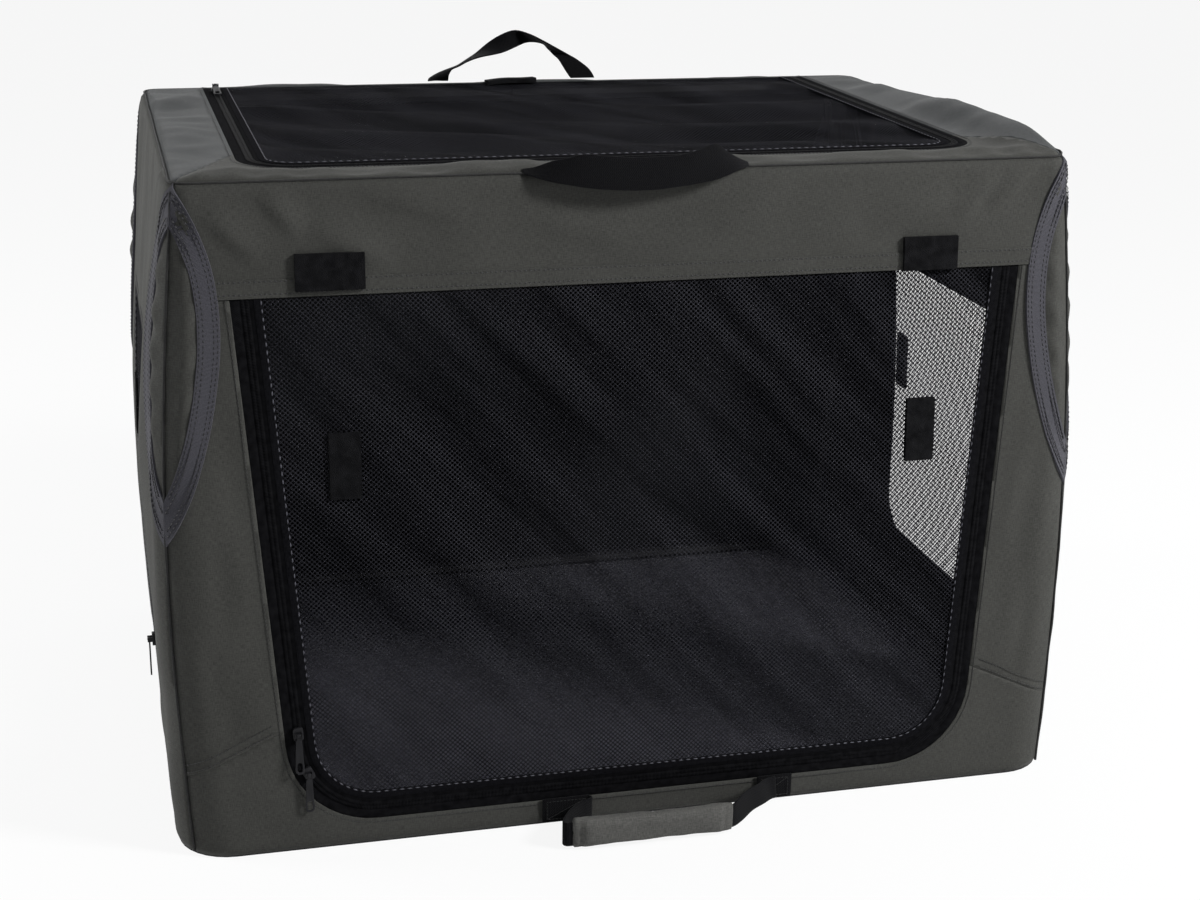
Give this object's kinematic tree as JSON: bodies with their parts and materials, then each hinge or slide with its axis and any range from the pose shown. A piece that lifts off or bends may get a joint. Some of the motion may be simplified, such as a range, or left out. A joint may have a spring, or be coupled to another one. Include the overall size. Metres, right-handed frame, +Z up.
{
  "type": "folding pet crate",
  "caption": "Soft-sided pet crate on a folding steel tube frame, with zipped mesh doors in the front, ends and roof, a floor mat, roof handles and a padded carry handle.",
  "frame": {"origin": "on the floor, in the middle of the floor panel's underside", "axes": "+X along the crate's length, towards the right when its front is faced, +Y towards its back, +Z up"},
  "size_m": [0.8636, 0.6869, 0.6454],
  "materials": {
    "black_steel": "black powder coat on steel tube",
    "black_plastic": "moulded nylon",
    "grey_polyester": "coated woven polyester",
    "roof_polyester": "coated woven polyester, lit from above",
    "black_net": "woven mesh",
    "zip_tape": "zip tape with a nylon coil",
    "zip_metal": "black enamelled zinc",
    "webbing": "polypropylene webbing",
    "grip_polyester": "padded woven polyester",
    "floor_polyester": "coated woven polyester",
    "mat_fleece": "padded, short-pile fleece"
  },
  "bodies": {
    "base": {"base_frame": "black_steel", "floor_panel": "floor_polyester", "floor_mat": "mat_fleece", "front_band": "grey_polyester", "front_left_panel": "grey_polyester", "front_right_panel": "grey_polyester", "front_lower_panel": "grey_polyester", "back_wall": "grey_polyester", "left_end_wall": "grey_polyester", "right_end_wall": "grey_polyester", "front_zip": "zip_tape", "left_zip": "zip_tape", "right_zip": "zip_tape", "carry_end_left": "webbing", "carry_end_right": "webbing", "base_bracket_front_left": "black_plastic", "base_bracket_front_right": "black_plastic", "base_bracket_back_left": "black_plastic", "base_bracket_back_right": "black_plastic"},
    "roof": {"roof_frame": "black_steel", "roof_panel": "roof_polyester", "roof_zip": "zip_tape", "roof_bracket_front_left": "black_plastic", "roof_bracket_front_right": "black_plastic", "roof_bracket_back_left": "black_plastic", "roof_bracket_back_right": "black_plastic"},
    "left_lower_link": {"lower_post_front_left": "black_steel", "lower_post_back_left": "black_steel", "knee_fork_front_left": "black_plastic", "knee_fork_back_left": "black_plastic"},
    "left_upper_link": {"upper_post_front_left": "black_steel", "upper_post_back_left": "black_steel", "knee_tongue_front_left": "black_plastic", "knee_tongue_back_left": "black_plastic"},
    "right_lower_link": {"lower_post_front_right": "black_steel", "lower_post_back_right": "black_steel", "knee_fork_front_right": "black_plastic", "knee_fork_back_right": "black_plastic"},
    "right_upper_link": {"upper_post_front_right": "black_steel", "upper_post_back_right": "black_steel", "knee_tongue_front_right": "black_plastic", "knee_tongue_back_right": "black_plastic"},
    "front_door": {"front_door": "black_net"},
    "left_door": {"left_door": "black_net"},
    "right_door": {"right_door": "black_net"},
    "roof_door": {"roof_door": "black_net"},
    "front_upper_slider": {"front_upper_slider": "zip_metal"},
    "front_upper_tab": {"front_upper_tab": "zip_metal"},
    "front_lower_slider": {"front_lower_slider": "zip_metal"},
    "front_lower_tab": {"front_lower_tab": "zip_metal"},
    "left_slider": {"left_slider": "zip_metal"},
    "left_tab": {"left_tab": "zip_metal"},
    "right_slider": {"right_slider": "zip_metal"},
    "right_tab": {"right_tab": "zip_metal"},
    "roof_slider": {"roof_slider": "zip_metal"},
    "roof_tab": {"roof_tab": "zip_metal"},
    "roof_front_handle": {"roof_front_handle": "webbing"},
    "roof_back_handle": {"roof_back_handle": "webbing"},
    "carry_handle": {"carry_strap": "webbing", "carry_grip": "grip_polyester"}
  },
  "joints": [
    {"name": "fold", "type": "hinge", "parent": "base", "child": "left_lower_link", "pos_m": [-0.378, 0, 0.045], "axis": [0, 1, 0], "range_deg": [0, 94.5], "deforming": ["front_band", "front_left_panel", "front_right_panel", "front_lower_panel", "back_wall", "left_end_wall", "right_end_wall", "front_zip", "left_zip", "right_zip", "front_door", "left_door", "right_door"]},
    {"name": "left_knee", "type": "hinge", "parent": "left_lower_link", "child": "left_upper_link", "pos_m": [-0.40891, 0, 0.2975], "axis": [0, 1, 0], "range_deg": [-189, 0]},
    {"name": "roof_level", "type": "hinge", "parent": "left_upper_link", "child": "roof", "pos_m": [-0.378, 0, 0.55], "axis": [0, 1, 0], "range_deg": [0, 94.5]},
    {"name": "right_lower", "type": "hinge", "parent": "base", "child": "right_lower_link", "pos_m": [0.378, 0, 0.045], "axis": [0, 1, 0], "range_deg": [-94.5, 0]},
    {"name": "right_knee", "type": "hinge", "parent": "right_lower_link", "child": "right_upper_link", "pos_m": [0.40891, 0, 0.2975], "axis": [0, 1, 0], "range_deg": [0, 189]},
    {"name": "front_door_hinge", "type": "hinge", "parent": "base", "child": "front_door", "pos_m": [0, -0.28571, 0.498], "axis": [1, 0, 0], "range_deg": [-135, 0]},
    {"name": "left_door_hinge", "type": "hinge", "parent": "base", "child": "left_door", "pos_m": [-0.41703, 0, 0.405], "axis": [0, -1, 0], "range_deg": [-135, 0]},
    {"name": "right_door_hinge", "type": "hinge", "parent": "base", "child": "right_door", "pos_m": [0.41703, 0, 0.405], "axis": [0, 1, 0], "range_deg": [-135, 0]},
    {"name": "roof_door_hinge", "type": "hinge", "parent": "roof", "child": "roof_door", "pos_m": [0, 0.262, 0.595], "axis": [1, 0, 0], "range_deg": [-90, 0]},
    {"name": "front_upper_run", "type": "slide", "parent": "base", "child": "front_upper_slider", "axis": [0.0757, -0.0586, -0.9954], "range_m": [-0.36, 0]},
    {"name": "front_lower_run", "type": "hinge", "parent": "base", "child": "front_lower_slider", "pos_m": [-0.24185, -0.30888, 0.104], "axis": [0, 0.9983, -0.0587], "range_deg": [-64, 0]},
    {"name": "left_run", "type": "hinge", "parent": "base", "child": "left_slider", "pos_m": [2.37569, -0.15994, 0.21164], "axis": [0.0005, -0.9997, -0.0237], "range_deg": [-4.9, 0]},
    {"name": "right_run", "type": "hinge", "parent": "base", "child": "right_slider", "pos_m": [-2.37569, -0.15994, 0.21164], "axis": [0.0005, 0.9997, 0.0237], "range_deg": [-4.9, 0]},
    {"name": "roof_run", "type": "slide", "parent": "roof", "child": "roof_slider", "axis": [0, 1, 0], "range_m": [-0.41, 0]},
    {"name": "front_upper_pull", "type": "hinge", "parent": "front_upper_slider", "child": "front_upper_tab", "pos_m": [-0.31065, -0.3146, 0.11236], "axis": [1, 0, 0], "range_deg": [-150, 0]},
    {"name": "front_lower_pull", "type": "hinge", "parent": "front_lower_slider", "child": "front_lower_tab", "pos_m": [-0.30296, -0.31683, 0.07455], "axis": [1, 0, 0], "range_deg": [-150, 0]},
    {"name": "left_pull", "type": "hinge", "parent": "left_slider", "child": "left_tab", "pos_m": [-0.42983, -0.15994, 0.14986], "axis": [0, -1, 0], "range_deg": [-150, 0]},
    {"name": "right_pull", "type": "hinge", "parent": "right_slider", "child": "right_tab", "pos_m": [0.42983, -0.15994, 0.14986], "axis": [0, 1, 0], "range_deg": [-150, 0]},
    {"name": "roof_pull", "type": "hinge", "parent": "roof_slider", "child": "roof_tab", "pos_m": [-0.323, 0.235, 0.6012], "axis": [1, 0, 0], "range_deg": [-150, 0]},
    {"name": "roof_front_handle_swing", "type": "hinge", "parent": "roof", "child": "roof_front_handle", "pos_m": [0, -0.2823, 0.5966], "axis": [1, 0, 0], "range_deg": [-90, 0]},
    {"name": "roof_back_handle_swing", "type": "hinge", "parent": "roof", "child": "roof_back_handle", "pos_m": [0, 0.2797, 0.5953], "axis": [1, 0, 0], "range_deg": [-80, 0]},
    {"name": "carry_handle_swing", "type": "hinge", "parent": "base", "child": "carry_handle", "pos_m": [0, -0.3153, 0.027], "axis": [1, 0, 0], "range_deg": [-60, 0]}
  ],
  "couplings": [
    {"joint": "left_knee", "follows": "fold", "ratio": -2},
    {"joint": "roof_level", "follows": "fold", "ratio": 1},
    {"joint": "right_lower", "follows": "fold", "ratio": -1},
    {"joint": "right_knee", "follows": "fold", "ratio": 2}
  ]
}
